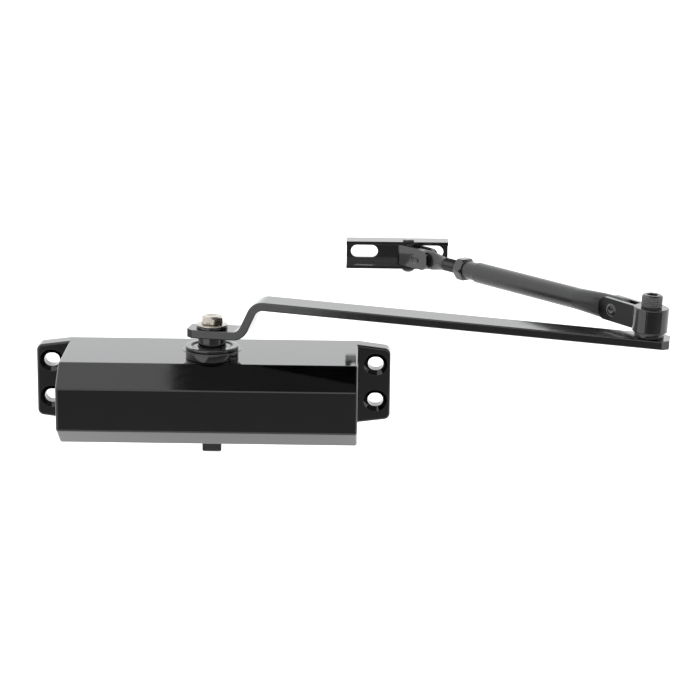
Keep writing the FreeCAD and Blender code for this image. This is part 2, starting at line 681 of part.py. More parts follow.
def main_arm():
    """Flat cranked blade with cut corners, a square hole and an elbow hole."""
    half = ARM_WIDTH / 2.0
    side = bent_strip(blade_middle(), ARM_T, ARM_BEND_R)
    side.translate(V(0, -half, 0))
    strip = Part.Face(side).extrude(V(0, ARM_WIDTH, 0))
    long_edges = [e for e in strip.Edges if e.BoundBox.YLength < 0.01 and e.BoundBox.XLength > 0.5]
    strip = strip.makeFillet(ARM_EDGE, long_edges)
    x0 = -ARM_BACK_END
    x1 = ARM_REACH + ARM_FRONT_END
    c = ARM_CORNER
    plan = [V(x0 + c, -half, 0), V(x1 - c, -half, 0), V(x1, -half + c, 0), V(x1, half - c, 0),
            V(x1 - c, half, 0), V(x0 + c, half, 0), V(x0, half - c, 0), V(x0, -half + c, 0)]
    shape = strip.common(prism(plan, V(0, 0, 2 * ARM_TOP)))
    hole = SQUARE / 2.0 + RUNNING
    square = block(-hole, hole, -hole, hole, NECK_TOP - 5, ARM_TOP + 5)
    square.rotate(V(0, 0, 0), Z_UP, math.degrees(ARM_TURN))
    shape = rigid(shape.cut(square), SPINDLE)
    stud_hole = rigid(disc(STUD_R + RUNNING, -3 * ARM_T, ARM_T), ELBOW_FRAME)
    return shape.cut(stud_hole)


def spring_washer():
    """Split spring washer under the flat washer."""
    shape = ring(SPRING_WASHER_R, WASHER_BORE_R, ARM_TOP, ARM_TOP + SPRING_WASHER_T)
    slit = block(0, SPRING_WASHER_R + SKIN, -SPRING_WASHER_SLIT, SPRING_WASHER_SLIT, ARM_TOP - SKIN, ARM_TOP + 3)
    slit.rotate(V(0, 0, 0), Z_UP, 110.0)
    return at_spindle(shape.cut(slit))


def arm_washer():
    """Plain washer under the arm bolt."""
    low = ARM_TOP + SPRING_WASHER_T + STACK_GAP
    return at_spindle(ring(WASHER_R, WASHER_BORE_R, low, low + WASHER_T))


def arm_bolt():
    """Hexagon bolt that clamps the arm on the spindle."""
    low = ARM_TOP + SPRING_WASHER_T + WASHER_T + 2 * STACK_GAP
    head = upright_hexagon(BOLT_AF, low, low + BOLT_HEAD_H)
    crown_z = low + BOLT_HEAD_H - 2.1
    dome = Part.makeCone(6.6, 4.4, 2.2, V(0, 0, crown_z), Z_UP)
    head = head.common(disc(6.6, low, crown_z).fuse(dome))
    dimple = Part.makeCone(1.6, 3.0, 0.7, V(0, 0, low + BOLT_HEAD_H - 0.6), Z_UP)
    shank = disc(BOLT_R, BOLT_LOW, low + 0.5)
    turned = head.cut(dimple).fuse(shank).removeSplitter()
    turned.rotate(V(0, 0, 0), Z_UP, BOLT_TURN)
    return at_spindle(turned)


# ---- elbow -----------------------------------------------------------------
def at_elbow(shape):
    """Piece moved from the elbow frame, whose +Z is the elbow axis and +X the link."""
    return rigid(shape, ELBOW_FRAME)


def elbow_ring():
    """Spacer ring between the arm and the knuckle."""
    return at_elbow(ring(RING_R, BUSH_R + 0.02, 0.0, RING_T - 0.05))


def elbow_bush():
    """Bush that the knuckle turns on."""
    return at_elbow(ring(BUSH_R, STUD_R + 0.1, 0.0, RING_T + KNUCKLE_H + 0.15))


def elbow_screw():
    """Knurled cap screw that holds the knuckle on the arm."""
    low = RING_T + KNUCKLE_H + 0.17
    points = []
    for k in range(KNURLS * 2):
        r = HEAD_R if k % 2 else HEAD_R - KNURL_DEPTH
        a = math.pi * k / KNURLS
        points.append(V(r * math.cos(a), r * math.sin(a), low))
    head = prism(points, V(0, 0, HEAD_H))
    bevel_z = low + HEAD_H - HEAD_BEVEL
    crown = disc(HEAD_R + 0.1, low, bevel_z)
    crown = crown.fuse(Part.makeCone(HEAD_R + 0.1, HEAD_R + 0.1 - HEAD_BEVEL, HEAD_BEVEL, V(0, 0, bevel_z), Z_UP))
    socket = upright_hexagon(SOCKET_AF, low + HEAD_H - SOCKET_DEPTH, low + HEAD_H + SKIN)
    shank = disc(STUD_R, -ARM_T + 0.3, low + 0.5)
    return at_elbow(head.common(crown).cut(socket).fuse(shank).removeSplitter())


def elbow_link():
    """Rolled strap: a knuckle round the bush and two ear plates for the rod."""
    high = RING_T + KNUCKLE_H
    shape = disc(KNUCKLE_R, RING_T, high)
    rim = [e for e in shape.Edges if e.BoundBox.ZLength < 0.01]
    shape = shape.makeFillet(0.6, rim)
    for side in (-1, 1):
        y0 = side * LINK_GAP / 2.0
        y1 = side * (LINK_GAP / 2.0 + EAR_PLATE_T)
        ear_plate = plate(0.0, LINK_REACH + EAR_PLATE_OVER, EAR_PLATE_H, min(y0, y1), max(y0, y1), 4.2)
        ear_plate.translate(V(0, 0, LINK_MID))
        shape = shape.fuse(ear_plate)
    shape = shape.removeSplitter().cut(disc(BUSH_R + RUNNING, 0, high + SKIN))
    seam = block(0, KNUCKLE_R + SKIN, -SEAM_HALF, SEAM_HALF, 0, high + SKIN)
    seam.rotate(V(0, 0, 0), Z_UP, SEAM_TURN)
    rivet_hole = cross_pin(RIVET_R + 0.02, -10, 10, LINK_REACH, LINK_MID)
    return at_elbow(shape.cut(seam).cut(rivet_hole))


def rivet(width, radius, head_r):
    """Short rivet along Y with a low dimpled head at each end."""
    half = width / 2.0
    shape = cross_pin(radius, -half, half)
    for side in (-1, 1):
        base = V(0, side * half, 0)
        head = Part.makeCone(head_r, head_r - 0.4, RIVET_HEAD_H, base, V(0, side, 0))
        dimple = Part.makeCone(0.9, 1.5, 0.5, base + V(0, side * 0.05, 0), V(0, side, 0))
        shape = shape.fuse(head).cut(dimple)
    return shape.removeSplitter()


def elbow_rivet():
    """Rivet that joins the link's ears and the rod tube."""
    shape = rivet(LINK_GAP + 2 * EAR_PLATE_T, RIVET_R, 3.1)
    shape.translate(V(LINK_REACH, 0, LINK_MID))
    return at_elbow(shape)


# ---- rod -------------------------------------------------------------------
def flat_section(thickness, height, x):
    """Round-ended upright section in a YZ plane."""
    r = thickness / 2.0
    a = height / 2.0 - r
    side1 = Part.LineSegment(V(x, r, -a), V(x, r, a)).toShape()
    top = Part.Arc(V(x, r, a), V(x, 0, a + r), V(x, -r, a)).toShape()
    side2 = Part.LineSegment(V(x, -r, a), V(x, -r, -a)).toShape()
    bottom = Part.Arc(V(x, -r, -a), V(x, 0, -a - r), V(x, r, -a)).toShape()
    return Part.Wire([side1, top, side2, bottom])


def round_section(radius, x):
    """Circle in a YZ plane split like flat_section so that the two loft cleanly."""
    c = radius * math.cos(math.radians(45.0))
    corners = [V(x, c, -c), V(x, c, c), V(x, -c, c), V(x, -c, -c)]
    middles = [V(x, radius, 0), V(x, 0, radius), V(x, -radius, 0), V(x, 0, -radius)]
    arcs = [Part.Arc(corners[k], middles[k], corners[(k + 1) % 4]).toShape() for k in range(4)]
    return Part.Wire(arcs)


def rod_tube():
    """Steel tube, flattened at the elbow end."""
    flat = plate(-7.2, TUBE_FLAT_END, TUBE_FLAT_H, -TUBE_FLAT_T / 2.0, TUBE_FLAT_T / 2.0, 2.4)
    tongue = plate(-7.2, TUBE_FLAT_END + 8.0, TUBE_FLAT_H, -TUBE_FLAT_T / 2.0, TUBE_FLAT_T / 2.0, 5.0)
    envelope = Part.Face(flat_section(TUBE_FLAT_T, TUBE_FLAT_H, -8.0)).extrude(V(TUBE_FLAT_END + 8.0, 0, 0))
    flat = tongue.common(envelope)
    neck = Part.makeLoft([flat_section(TUBE_FLAT_T, TUBE_FLAT_H, TUBE_FLAT_END),
                          round_section(TUBE_R, TUBE_ROUND_START)], True, False)
    barrel = bar(TUBE_R, TUBE_ROUND_START, TUBE_END)
    barrel = barrel.makeFillet(0.85, [e for e in barrel.Edges if e.BoundBox.XMin > TUBE_END - 0.1])
    shape = flat.fuse(neck).fuse(barrel).removeSplitter()
    shape = shape.cut(bar(TUBE_BORE_R, TUBE_ROUND_START + 2.0, TUBE_END + 5))
    shape = shape.cut(cross_pin(RIVET_R + RUNNING, -10, 10))
    return rigid(shape, TUBE_FRAME)


def rod_bush():
    """Threaded bush pressed in the tube's open end."""
    shape = bar(TUBE_BORE_R - 0.02, NECK_START, TUBE_END + 0.1)
    collar = bar(NECK_R, TUBE_END + 0.02, NECK_END)
    collar = collar.makeFillet(0.4, [e for e in collar.Edges if e.BoundBox.XMin > NECK_END - 0.1])
    shape = shape.fuse(collar).removeSplitter().cut(bar(ROD_R + RUNNING, NECK_START - 1, NECK_END + 1))
    return rigid(shape, TUBE_FRAME)


def lock_nut():
    """Hexagon nut that locks the rod's length."""
    x0 = NECK_END + NUT_GAP
    x1 = x0 + NUT_T
    shape = hexagon(NUT_AF, x0, x1)
    corner = NUT_AF / math.sqrt(3.0)
    wide = corner + 0.5
    narrow = corner - 0.7
    low = Part.makeCone(narrow, wide, NUT_BEVEL, V(x0, 0, 0), X_AXIS)
    high = Part.makeCone(wide, narrow, NUT_BEVEL, V(x1 - NUT_BEVEL, 0, 0), X_AXIS)
    crown = low.fuse(bar(wide, x0 + NUT_BEVEL, x1 - NUT_BEVEL)).fuse(high)
    shape = shape.common(crown).cut(bar(ROD_R + RUNNING, x0 - SKIN, x1 + SKIN))
    return rigid(shape, ROD_FRAME)


def threaded_rod():
    """Rod with a thread, a plain shank and a flat eye for the shoe."""
    eye_at = SHOE_RIVET_AT
    profile = [V(ROD_START, 0, 0), V(ROD_START, 0, ROD_R - THREAD_DEPTH)]
    turns = int((THREAD_END - ROD_START) / ROD_PITCH)
    for k in range(turns):
        x = ROD_START + k * ROD_PITCH
        profile.append(V(x + 0.55 * ROD_PITCH, 0, ROD_R))
        profile.append(V(x + ROD_PITCH, 0, ROD_R - THREAD_DEPTH))
    profile.append(V(THREAD_END, 0, 0))
    shape = Part.Face(Part.makePolygon(profile + profile[:1])).revolve(V(0, 0, 0), X_AXIS, 360)
    flare_end = eye_at - FLARE_END
    shank = Part.Face(round_section(ROD_R, THREAD_END)).extrude(V(SHANK, 0, 0))
    flare = Part.makeLoft([round_section(ROD_R, THREAD_END + SHANK),
                           flat_section(TONGUE_T, TONGUE_H, flare_end)], True, False)
    tongue = plate(flare_end - 8.0, eye_at + 5.0, TONGUE_H, -TONGUE_T / 2.0, TONGUE_T / 2.0, 4.8)
    keep = Part.Face(flat_section(TONGUE_T, TONGUE_H, flare_end)).extrude(V(20, 0, 0))
    shape = shape.fuse(shank).fuse(flare).fuse(tongue.common(keep)).removeSplitter()
    shape = shape.cut(cross_pin(RIVET_R + RUNNING, -10, 10, eye_at, 0))
    return rigid(shape, ROD_FRAME)


# ---- shoe ------------------------------------------------------------------
def shoe_block():
    """Folded strap: two ears on the rod's eye and a bored fold on the shoe pin."""
    rear = SHOE_PIN_AT + BLOCK_REAR - BLOCK_HALF_T
    shape = plate(-EAR_PLATE_OVER, rear + 5.0, BLOCK_H, -BLOCK_HALF_T, BLOCK_HALF_T, 4.0)
    keep = block(-20, rear, -BLOCK_HALF_T, BLOCK_HALF_T, -BLOCK_H, BLOCK_H)
    keep = keep.fuse(disc(BLOCK_HALF_T, -BLOCK_H, BLOCK_H, rear, 0))
    shape = shape.common(keep)
    gap = block(-20, 5.8, -SHOE_GAP / 2.0, SHOE_GAP / 2.0, -20, 20)
    pin_hole = disc(SHOE_PIN_R + RUNNING, -20, 20, SHOE_PIN_AT, 0)
    rivet_hole = cross_pin(RIVET_R + 0.02, -10, 10)
    return rigid(shape.cut(gap).cut(pin_hole).cut(rivet_hole).removeSplitter(), BLOCK_FRAME)


def shoe_rivet():
    """Rivet that joins the shoe block's ears and the rod's eye."""
    return rigid(rivet(2 * BLOCK_HALF_T, RIVET_R, 2.9), BLOCK_FRAME)


def shoe_pin():
    """Upright pin of the shoe, with a domed lower head and a flat upper head."""
    half = SHOE_HEIGHT / 2.0
    shape = disc(SHOE_PIN_R, -half, half)
    top = disc(3.0, half, half + 0.9)
    dome = Part.makeCone(2.2, 3.5, 1.4, V(0, 0, -half - 2.2), Z_UP)
    rim = disc(3.5, -half - 0.8, -half)
    shape = shape.fuse(top).fuse(dome).fuse(rim).removeSplitter()
    shape.translate(SHOE_PIN)
    return shape


def shoe_bracket():
    """Channel-shaped shoe with two fixing slots and pinned flanges."""
    x0 = SHOE_PIN.x - SHOE_LEFT
    x1 = SHOE_PIN.x + SHOE_RIGHT
    front = SHOE_PIN.y - LIP_FRONT
    web = SHOE_PIN.y + WEB_BEHIND
    half = SHOE_HEIGHT / 2.0
    shape = block(x0, x1, front, web + SHEET, SHOE_PIN.z - half, SHOE_PIN.z + half)
    long_edges = [e for e in shape.Edges if e.BoundBox.XLength > 10 and e.BoundBox.YMin > web]
    shape = shape.makeFillet(1.6, long_edges)
    inner = half - SHEET
    shape = shape.cut(block(x0 - 1, x1 + 1, front - 1, web, SHOE_PIN.z - inner, SHOE_PIN.z + inner))
    for x in (x0 + SHOE_SLOT_INSET, x1 - SHOE_SLOT_INSET):
        shape = shape.cut(slot(SHOE_SLOT_L, SHOE_SLOT_W, web - 1, web + SHEET + 1, x, SHOE_PIN.z))
    return shape.cut(disc(SHOE_PIN_R + 0.02, SHOE_PIN.z - 20, SHOE_PIN.z + 20, SHOE_PIN.x, SHOE_PIN.y))


PARTS = {
    "body_casting": body_casting,
    "end_plug_left": lambda: end_plug(-1),
    "end_plug_right": lambda: end_plug(1),
    "end_plug_seals": end_plug_seals,
    "sweep_valve_screw": lambda: valve_screw(VALVE_Z[0]),
    "latch_valve_screw": lambda: valve_screw(VALVE_Z[1]),
    "valve_seals": valve_seals,
    "piston": piston,
    "piston_seal": piston_seal,
    "check_valve_ball": check_valve_ball,
    "check_valve_cage": check_valve_cage,
    "closing_spring": closing_spring,
    "spindle": spindle,
    "spindle_cap": spindle_cap,
    "dust_ring": dust_ring,
    "upper_bearing": upper_bearing,
    "upper_seal": upper_seal,
    "lower_bearing": lower_bearing,
    "lower_seal": lower_seal,
    "lower_cap": lower_cap,
    "main_arm": main_arm,
    "spring_washer": spring_washer,
    "arm_washer": arm_washer,
    "arm_bolt": arm_bolt,
    "elbow_ring": elbow_ring,
    "elbow_bush": elbow_bush,
    "elbow_screw": elbow_screw,
    "elbow_link": elbow_link,
    "elbow_rivet": elbow_rivet,
    "rod_tube": rod_tube,
    "rod_bush": rod_bush,
    "lock_nut": lock_nut,
    "threaded_rod": threaded_rod,
    "shoe_block": shoe_block,
    "shoe_rivet": shoe_rivet,
    "shoe_pin": shoe_pin,
    "shoe_bracket": shoe_bracket,
}

os.makedirs("parts", exist_ok=True)
for part_name, build in PARTS.items():
    solid = build()
    save(part_name, solid)
    print("%-20s solids %d valid %s volume %.1f" % (part_name, len(solid.Solids), solid.isValid(), solid.Volume))
print("elbow", ELBOW, "up", ELBOW_UP)
print("elbow rivet", ELBOW_RIVET, "axis", RIVET_DIR)
print("rod", ROD_DIR, "shoe rivet", SHOE_RIVET, "shoe pin", SHOE_PIN)
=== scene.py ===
"""Studio picture of a surface-mounted door closer with a two-piece arm.

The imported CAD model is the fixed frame.  Its castings, bars and tubes keep
their CAD meshes and are given finishes; turned, knurled and hexagonal
hardware is built here as detailed meshes that stand for their CAD nodes.
"""

import json
import logging
import math
from collections.abc import Callable, Iterable
from dataclasses import dataclass, field
from enum import Enum

import bmesh
import bpy
from mathutils import Matrix, Vector


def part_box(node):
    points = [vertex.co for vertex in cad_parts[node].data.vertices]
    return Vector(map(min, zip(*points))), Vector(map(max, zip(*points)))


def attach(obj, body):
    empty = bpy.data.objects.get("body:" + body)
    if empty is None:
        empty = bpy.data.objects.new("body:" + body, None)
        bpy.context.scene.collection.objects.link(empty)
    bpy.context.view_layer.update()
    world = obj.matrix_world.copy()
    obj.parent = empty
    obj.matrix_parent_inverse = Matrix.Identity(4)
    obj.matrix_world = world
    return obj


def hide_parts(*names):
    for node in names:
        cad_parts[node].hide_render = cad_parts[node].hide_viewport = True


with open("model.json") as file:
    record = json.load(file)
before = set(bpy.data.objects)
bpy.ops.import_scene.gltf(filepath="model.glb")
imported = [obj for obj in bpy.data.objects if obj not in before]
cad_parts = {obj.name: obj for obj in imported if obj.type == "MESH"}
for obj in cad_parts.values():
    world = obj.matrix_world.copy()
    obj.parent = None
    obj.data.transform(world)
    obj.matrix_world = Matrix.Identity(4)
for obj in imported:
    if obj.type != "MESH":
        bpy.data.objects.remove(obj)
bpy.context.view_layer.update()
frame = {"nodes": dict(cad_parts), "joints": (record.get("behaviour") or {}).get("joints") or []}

LOG = logging.getLogger("door_closer")
MM = 0.001
Pair = tuple[float, float]
Colour = tuple[float, float, float]


class Slot(Enum):
    """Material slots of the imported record."""

    CASTING = "gloss_black_casting"
    BLACK_STEEL = "black_steel"
    SATIN_STEEL = "satin_dark_steel"
    NICKEL = "nickel_steel"
    BLACK_SCREW = "blackened_screw_steel"
    GROUND = "ground_steel"
    BRASS = "brass"
    SEAL = "seal_rubber"


class Joint(Enum):
    """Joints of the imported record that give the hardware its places."""

    SPINDLE = "spindle_turn"
    ELBOW = "elbow_turn"
    ROD_TILT = "rod_tilt"
    NUT = "lock_nut_spin"
    SHOE_TILT = "shoe_tilt"
    SHOE_PIN = "shoe_swivel"


# ---- places -------------------------------------------------------------------
@dataclass(frozen=True)
class Place:
    """Local frame of a piece, in the CAD frame and in metres.

    Args:
        origin: where the piece's own zero lies.
        up: direction of the piece's turning axis.
        ahead: direction that the piece's own +X leans to.
    """

    origin: Vector
    up: Vector
    ahead: Vector

    def matrix(self) -> Matrix:
        """Return the matrix that takes the piece's millimetres to the CAD frame."""
        up = self.up.normalized()
        side = up.cross(self.ahead).normalized()
        ahead = side.cross(up)
        turn = Matrix((ahead, side, up)).transposed().to_4x4()
        return Matrix.Translation(self.origin) @ turn @ Matrix.Scale(MM, 4)


def joint_point(joint: Joint) -> Vector:
    """Return the point on a joint's axis that the record gives."""
    found = next(j for j in frame["joints"] if j["name"] == joint.value)
    return Vector(found["pos_m"])


def joint_axis(joint: Joint) -> Vector:
    """Return the direction of a joint's axis."""
    found = next(j for j in frame["joints"] if j["name"] == joint.value)
    return Vector(found["axis"])


def height_of(node: str) -> Pair:
    """Return a node's lowest and highest level in millimetres."""
    low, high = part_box(node)
    return low.z / MM, high.z / MM


# ---- mesh making --------------------------------------------------------------
@dataclass(frozen=True)
class Station:
    """One ring of a turned shape.

    Args:
        radius: radius in millimetres, 0 on the axis.
        height: level along the axis in millimetres.
        flat: half the width across flats where the ring is hexagonal.
        knurl: depth of the knurling at this level.
    """

    radius: float
    height: float
    flat: float = 0.0
    knurl: float = 0.0

    def reach(self, turn: float, knurls: int) -> float:
        """Return the ring's radius at an angle.

        Args:
            turn: angle round the axis in radians.
            knurls: how many knurls go round.

        Returns:
            The radius in millimetres.
        """
        radius = self.radius
        if self.flat > 0:
            sixth = math.pi / 3
            lean = (turn + sixth / 2) % sixth - sixth / 2
            radius = min(radius, self.flat / math.cos(lean))
        if self.knurl > 0:
            lead = self.height * 0.52
            first = abs((turn * knurls / math.tau + lead) % 1.0 - 0.5) * 2
            second = abs((turn * knurls / math.tau - lead) % 1.0 - 0.5) * 2
            radius -= self.knurl * (1 - min(first, second) * 1.6) if min(first, second) < 0.62 else 0.0
        return radius


def softened(points: list[Pair], radius: float, steps: int = 3) -> list[Pair]:
    """Round the inner corners of an open profile.

    Args:
        points: radius and height pairs, in order.
        radius: how far each corner is cut back, in millimetres.
        steps: points along each rounded corner.

    Returns:
        The profile with its corners rounded.
    """
    out = [points[0]]
    for before, corner, after in zip(points, points[1:], points[2:]):
        to_before = Vector(before) - Vector(corner)
        to_after = Vector(after) - Vector(corner)
        cut = min(radius, to_before.length * 0.45, to_after.length * 0.45)
        start = Vector(corner) + to_before.normalized() * cut
        end = Vector(corner) + to_after.normalized() * cut
        for k in range(steps + 1):
            t = k / steps
            mid = start * (1 - t) ** 2 + Vector(corner) * (2 * t * (1 - t)) + end * t**2
            out.append((mid.x, mid.y))
    out.append(points[-1])
    return out


def loop_softened(points: list[Pair], radius: float) -> list[Pair]:
    """Round every corner of a closed profile."""
    middle = ((points[0][0] + points[-1][0]) / 2, (points[0][1] + points[-1][1]) / 2)
    return softened([middle, *points, middle], radius)[:-1]


@dataclass
class Workpiece:
    """A mesh being made, later an object that rides on a CAD body.

    Args:
        name: name of the finished piece.
        place: where the piece lies.
        crease: angle in degrees above which an edge is shaded sharp.
    """

    name: str
    place: Place
    crease: float = 42.0
    bm: bmesh.types.BMesh = field(default_factory=bmesh.new)

    def turned(self, stations: list[Station], segments: int = 96, knurls: int = 0,
               closed: bool = False) -> None:
        """Add a turned solid.

        Args:
            stations: rings from one end of the profile to the other.
            segments: how many steps go round.
            knurls: how many knurls go round.
            closed: whether the last ring joins the first, as on a washer.
        """
        rings = []
        for station in stations:
            if station.radius < 1e-6:
                rings.append([self.bm.verts.new((0, 0, station.height))])
                continue
            ring = []
            for k in range(segments):
                turn = math.tau * k / segments
                r = station.reach(turn, knurls)
                ring.append(self.bm.verts.new((r * math.cos(turn), r * math.sin(turn), station.height)))
            rings.append(ring)
        pairs = list(zip(rings, rings[1:]))
        if closed:
            pairs.append((rings[-1], rings[0]))
        for lower, upper in pairs:
            self._join(lower, upper, segments)

    def _join(self, lower: list, upper: list, segments: int) -> None:
        """Fill the band between two rings, either of which may be one point."""
        for k in range(segments):
            n = (k + 1) % segments
            if len(lower) == 1:
                self.bm.faces.new((lower[0], upper[n], upper[k]))
            elif len(upper) == 1:
                self.bm.faces.new((lower[k], lower[n], upper[0]))
            else:
                self.bm.faces.new((lower[k], lower[n], upper[n], upper[k]))

    def swept(self, sections: list[list[Vector]]) -> None:
        """Add a bar through closed sections of equal length, capped at both ends."""
        rings = [[self.bm.verts.new(p) for p in section] for section in sections]
        count = len(rings[0])
        for lower, upper in zip(rings, rings[1:]):
            for k in range(count):
                n = (k + 1) % count
                self.bm.faces.new((lower[k], lower[n], upper[n], upper[k]))
        self.bm.faces.new(list(reversed(rings[0])))
        self.bm.faces.new(rings[-1])

    def finish(self, body: str, slot: Slot, finishes: "FinishBook",
               stands_for: Iterable[str]) -> bpy.types.Object:
        """Turn the mesh into an object on its body, with its finish.

        Args:
            body: the CAD body that it rides on.
            slot: the record's material slot.
            finishes: the finishes made for this scene.
            stands_for: CAD nodes that the piece replaces.

        Returns:
            The finished object.
        """
        bmesh.ops.recalc_face_normals(self.bm, faces=self.bm.faces[:])
        self.bm.transform(self.place.matrix())
        for face in self.bm.faces:
            face.smooth = True
        limit = math.radians(self.crease)
        for edge in self.bm.edges:
            edge.smooth = edge.is_manifold and edge.calc_face_angle(0.0) < limit
        mesh = bpy.data.meshes.new(self.name)
        self.bm.to_mesh(mesh)
        self.bm.free()
        piece = bpy.data.objects.new(self.name, mesh)
        bpy.context.scene.collection.objects.link(piece)
        piece.data.materials.append(finishes.material(slot))
        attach(piece, body)
        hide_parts(*stands_for)
        LOG.info("%s: %d faces, rides on %s", self.name, len(mesh.polygons), body)
        return piece


# ---- finishes -----------------------------------------------------------------
@dataclass
class Graph:
    """A material's node tree with short ways to add to it.

    Args:
        name: name of the material.
    """

    name: str

    def __post_init__(self) -> None:
        """Make the material with a Principled shader and its output."""
        self.material = bpy.data.materials.new(self.name)
        self.material.use_nodes = True
        self.tree = self.material.node_tree
        self.tree.nodes.clear()
        self.shader = self.add("ShaderNodeBsdfPrincipled")
        output = self.add("ShaderNodeOutputMaterial")
        self.link(self.shader, "BSDF", output, "Surface")
        self.place = self.add("ShaderNodeTexCoord")

    def add(self, kind: str, **settings: object) -> bpy.types.Node:
        """Add a node and set its properties."""
        node = self.tree.nodes.new(kind)
        for key, value in settings.items():
            setattr(node, key, value)
        return node

    def link(self, source: bpy.types.Node, out: str | int, target: bpy.types.Node, into: str | int) -> None:
        """Join one node's output to another's input."""
        self.tree.links.new(source.outputs[out], target.inputs[into])

    def noise(self, scale: float, detail: float = 2.0, roughness: float = 0.5) -> bpy.types.Node:
        """Add noise on the piece's own coordinates, its scale per metre."""
        node = self.add("ShaderNodeTexNoise")
        self.link(self.place, "Object", node, "Vector")
        node.inputs["Scale"].default_value = scale
        node.inputs["Detail"].default_value = detail
        node.inputs["Roughness"].default_value = roughness
        return node

    def spread(self, source: bpy.types.Node, out: str | int, low: float, high: float,
               middle: Pair = (0.3, 0.7)) -> bpy.types.Node:
        """Spread a value between two limits.

        Args:
            source: node that gives the value.
            out: its output.
            low: result at the lower end.
            high: result at the upper end.
            middle: the part of the source's range that is used.

        Returns:
            The node whose output "Result" holds the value.
        """
        node = self.add("ShaderNodeMapRange")
        self.link(source, out, node, "Value")
        node.inputs["From Min"].default_value = middle[0]
        node.inputs["From Max"].default_value = middle[1]
        node.inputs["To Min"].default_value = low
        node.inputs["To Max"].default_value = high
        return node

    def blend_colours(self, factor: bpy.types.Node, out: str | int, first: Colour,
                      second: Colour) -> bpy.types.Node:
        """Mix two colours by a factor, first where it is 0."""
        node = self.add("ShaderNodeMix", data_type="RGBA")
        self.link(factor, out, node, "Factor")
        node.inputs[6].default_value = (*first, 1.0)
        node.inputs[7].default_value = (*second, 1.0)
        return node

    def bumps(self, layers: list[tuple[bpy.types.Node, str | int, float]]) -> None:
        """Stack bump layers into the shader's normal.

        Args:
            layers: node, output and height in metres of each layer.
        """
        last = None
        for source, out, height in layers:
            bump = self.add("ShaderNodeBump")
            bump.inputs["Strength"].default_value = 1.0
            bump.inputs["Distance"].default_value = height
            self.link(source, out, bump, "Height")
            if last is not None:
                self.link(last, "Normal", bump, "Normal")
            last = bump
        if last is not None:
            self.link(last, "Normal", self.shader, "Normal")

    def edge_wear(self, radius: float) -> bpy.types.Node:
        """Return a node whose "Result" is 1 on edges that hands and tools rub.

        Args:
            radius: how wide the rubbed band is, in metres.
        """
        bevel = self.add("ShaderNodeBevel", samples=4)
        bevel.inputs["Radius"].default_value = radius
        true_normal = self.add("ShaderNodeNewGeometry")
        dot = self.add("ShaderNodeVectorMath", operation="DOT_PRODUCT")
        self.link(bevel, "Normal", dot, 0)
        self.link(true_normal, "Normal", dot, 1)
        grain = self.noise(1400.0, 3.0, 0.65)
        rubbed = self.add("ShaderNodeMath", operation="MULTIPLY_ADD")
        rubbed.inputs[1].default_value = 0.12
        self.link(grain, 0, rubbed, 0)
        self.link(dot, "Value", rubbed, 2)
        return self.spread(rubbed, 0, 1.0, 0.0, (0.90, 1.02))


@dataclass(frozen=True)
class Finish:
    """What every finish states.

    Args:
        colour: darker base colour.
        bloom: lighter base colour that it drifts to.
        roughness: lower and upper roughness.
        metallic: metallic share.
        ior: index of refraction of its surface.
        drift: scale per metre of the colour's slow variation.
    """

    colour: Colour
    bloom: Colour
    roughness: Pair
    metallic: float = 0.0
    ior: float = 1.5
    drift: float = 45.0

    def start(self, name: str) -> Graph:
        """Return a graph with the colour and roughness variation in place."""
        graph = Graph(name)
        graph.shader.inputs["Metallic"].default_value = self.metallic
        graph.shader.inputs["IOR"].default_value = self.ior
        slow = graph.noise(self.drift, 4.0, 0.6)
        tone = graph.blend_colours(graph.spread(slow, 0, 0.0, 1.0), "Result", self.colour, self.bloom)
        graph.link(tone, 2, graph.shader, "Base Color")
        smear = graph.noise(self.drift * 5.0, 5.0, 0.7)
        graph.link(graph.spread(smear, 0, *self.roughness), "Result", graph.shader, "Roughness")
        return graph

    def dress(self, name: str) -> bpy.types.Material:
        """Return the finished material."""
        return self.start(name).material


@dataclass(frozen=True)
class Enamel(Finish):
    """Gloss enamel sprayed on a casting.

    Args:
        peel: height of the orange peel, in metres.
        peel_scale: its scale per metre.
        waviness: height of the casting's own slow waves, in metres.
        rubbed: colour where edges are rubbed.
    """

    peel: float = 1.6e-6
    peel_scale: float = 1050.0
    waviness: float = 9e-6
    rubbed: Colour = (0.035, 0.034, 0.033)

    def dress(self, name: str) -> bpy.types.Material:
        """Return the finished material."""
        graph = self.start(name)
        wear = graph.edge_wear(0.0007)
        tone = graph.shader.inputs["Base Color"].links[0].from_node
        worn = graph.add("ShaderNodeMix", data_type="RGBA")
        graph.link(wear, "Result", worn, "Factor")
        graph.link(tone, 2, worn, 6)
        worn.inputs[7].default_value = (*self.rubbed, 1.0)
        graph.link(worn, 2, graph.shader, "Base Color")
        peel = graph.noise(self.peel_scale, 1.5, 0.45)
        wave = graph.noise(70.0, 1.0, 0.3)
        graph.bumps([(wave, 0, self.waviness), (peel, 0, self.peel)])
        return graph.material


